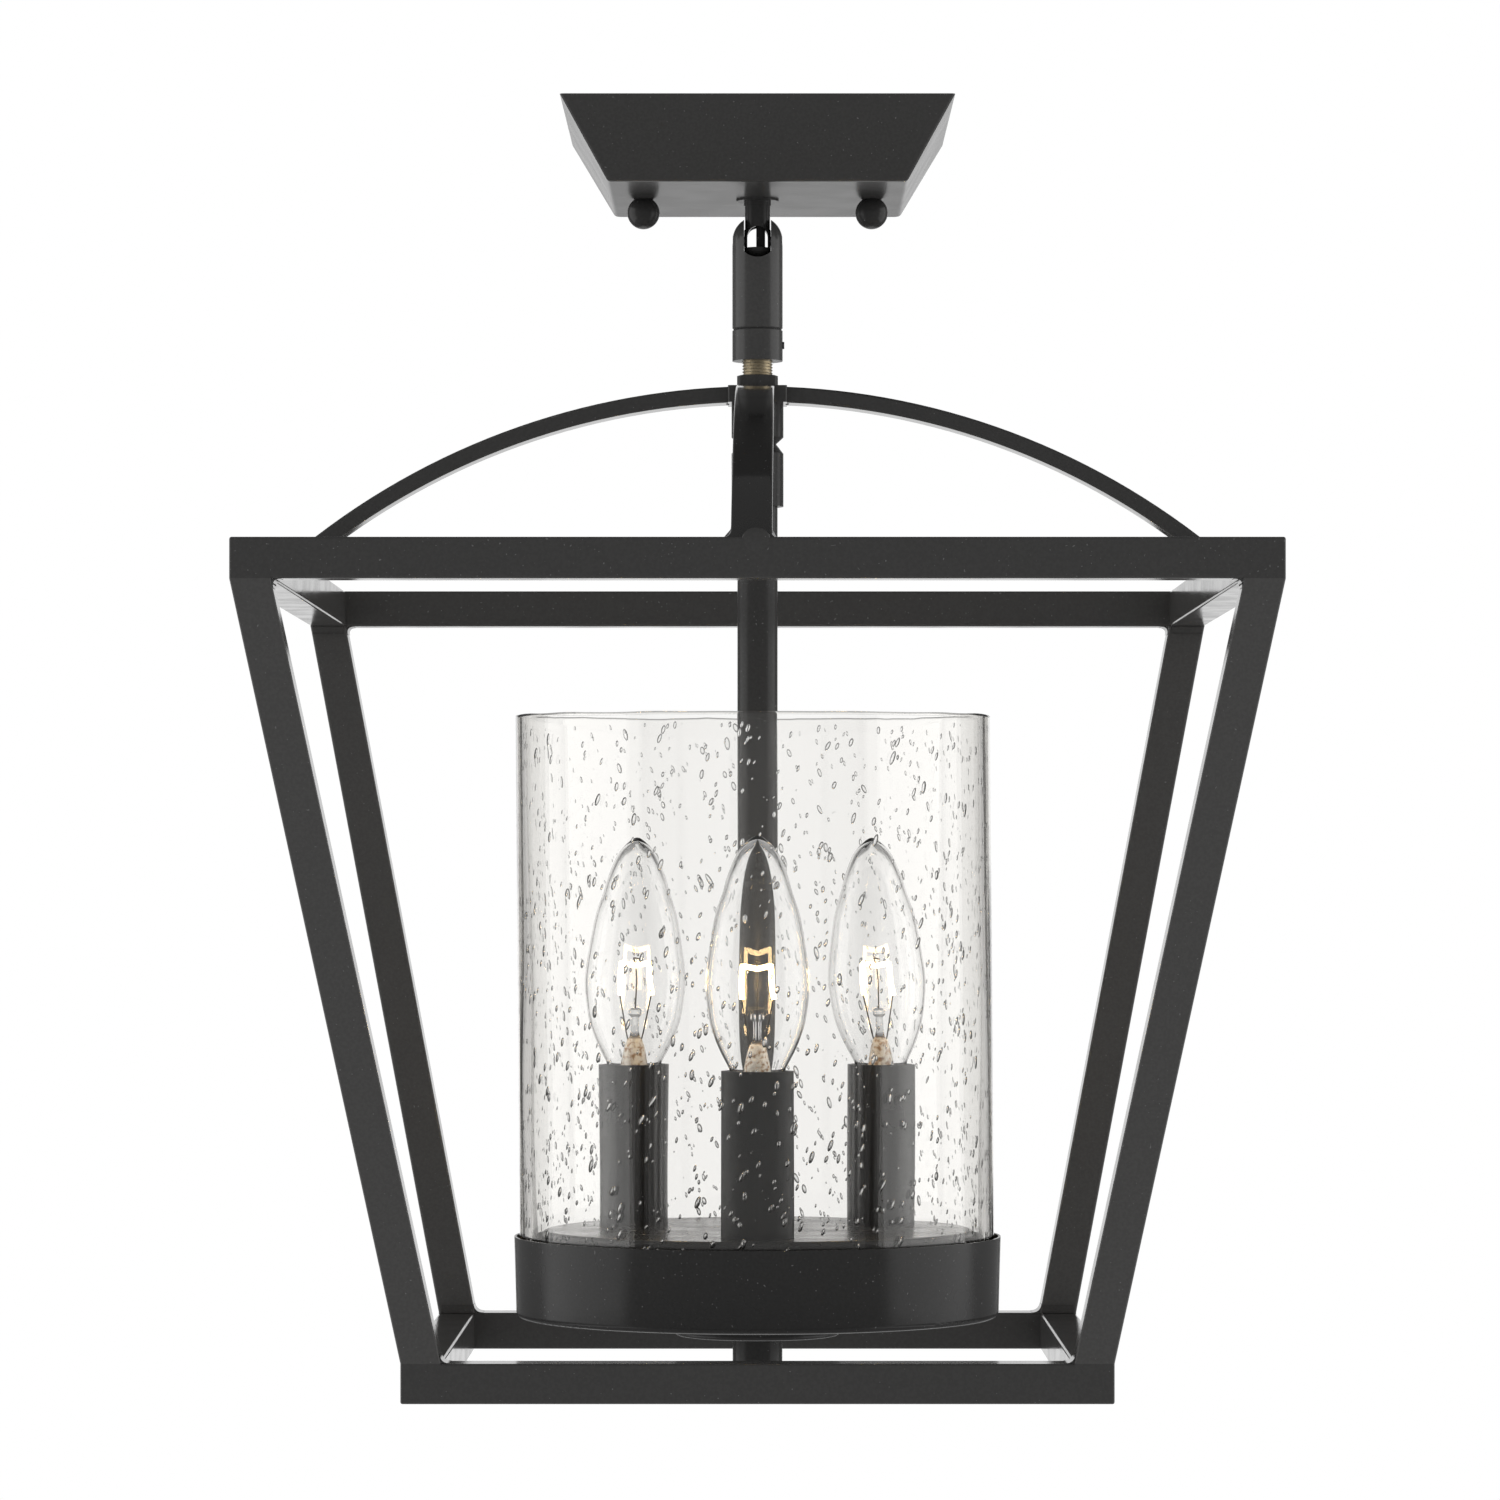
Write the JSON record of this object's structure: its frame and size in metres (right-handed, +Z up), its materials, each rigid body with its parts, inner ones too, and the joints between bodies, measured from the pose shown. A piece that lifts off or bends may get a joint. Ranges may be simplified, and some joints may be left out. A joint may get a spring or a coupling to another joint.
{
  "type": "semi flush lantern ceiling light",
  "caption": "Semi flush ceiling lantern: welded square-tube cage hung by flat arches from a swivel under a square canopy, with candle lamps in a loose glass cylinder.",
  "frame": {"origin": "centre of the ceiling plane, on the crossbar's top face", "axes": "+Z up into the ceiling; -Y is the front, where one candle stands; +X right seen from there"},
  "size_m": [0.3048, 0.3048, 0.3955],
  "materials": {
    "black_coat": "satin",
    "black_steel": "satin",
    "zinc": "satin",
    "spring_steel": "satin",
    "brass": "bright",
    "phenolic": "matte",
    "lead": "matte",
    "shade_glass": "clear, seeded",
    "lamp_glass": "clear",
    "lamp_mount": "clear"
  },
  "bodies": {
    "canopy": {"canopy": "black_coat", "crossbar": "zinc", "canopy_screws": "zinc", "ball_nuts": "black_coat", "stud": "black_coat", "stud_washer": "black_coat", "stud_nut": "zinc", "lead_upper": "lead"},
    "swivel": {"swivel_body": "black_coat", "swivel_pins": "spring_steel"},
    "lantern": {"swivel_collar": "black_coat", "snap_ring": "spring_steel", "collar_set_screw": "black_steel", "top_nipple": "zinc", "hub_nut": "black_coat", "arch_hub": "black_coat", "arch_front": "black_coat", "arch_right": "black_coat", "arch_back": "black_coat", "arch_left": "black_coat", "upper_coupling": "black_coat", "lower_coupling": "black_coat", "centre_stem": "black_coat", "top_rail_front": "black_coat", "top_rail_right": "black_coat", "top_rail_back": "black_coat", "top_rail_left": "black_coat", "bottom_rail_front": "black_coat", "bottom_rail_right": "black_coat", "bottom_rail_back": "black_coat", "bottom_rail_left": "black_coat", "leg_front_left": "black_coat", "leg_front_right": "black_coat", "leg_back_left": "black_coat", "leg_back_right": "black_coat", "pan": "black_coat", "pan_cover": "black_coat", "pan_nipple": "zinc", "pan_cap": "black_coat", "finial": "black_coat", "lead_lower": "lead", "branch_leads": "lead", "lampholders": "phenolic", "holder_shells": "brass", "holder_contacts": "brass", "holder_brackets": "zinc", "holder_bolts": "zinc", "candle_sleeve_1": "black_coat", "candle_sleeve_2": "black_coat", "candle_sleeve_3": "black_coat"},
    "shade": {"glass_shade": "shade_glass"},
    "lamp_1": {"lamp_1_glass": "lamp_glass", "lamp_1_cap": "brass", "lamp_1_mount": "lamp_mount"},
    "lamp_2": {"lamp_2_glass": "lamp_glass", "lamp_2_cap": "brass", "lamp_2_mount": "lamp_mount"},
    "lamp_3": {"lamp_3_glass": "lamp_glass", "lamp_3_cap": "brass", "lamp_3_mount": "lamp_mount"}
  },
  "joints": [
    {"name": "swivel_tilt", "type": "hinge", "parent": "canopy", "child": "swivel", "pos_m": [0, 0, -0.0381], "axis": [1, 0, 0], "range_deg": [-40, 40]},
    {"name": "lantern_turn", "type": "hinge", "parent": "swivel", "child": "lantern", "pos_m": [0, 0, -0.066], "axis": [0, 0, 1], "range_deg": [-170, 170]},
    {"name": "shade_lift", "type": "slide", "parent": "lantern", "child": "shade", "axis": [0, 0, 1], "range_m": [0, 0.084]},
    {"name": "lamp_1_unscrew", "type": "slide", "parent": "lantern", "child": "lamp_1", "axis": [0, 0, 1], "range_m": [0, 0.028]},
    {"name": "lamp_2_unscrew", "type": "slide", "parent": "lantern", "child": "lamp_2", "axis": [0, 0, 1], "range_m": [0, 0.028]},
    {"name": "lamp_3_unscrew", "type": "slide", "parent": "lantern", "child": "lamp_3", "axis": [0, 0, 1], "range_m": [0, 0.028]}
  ]
}
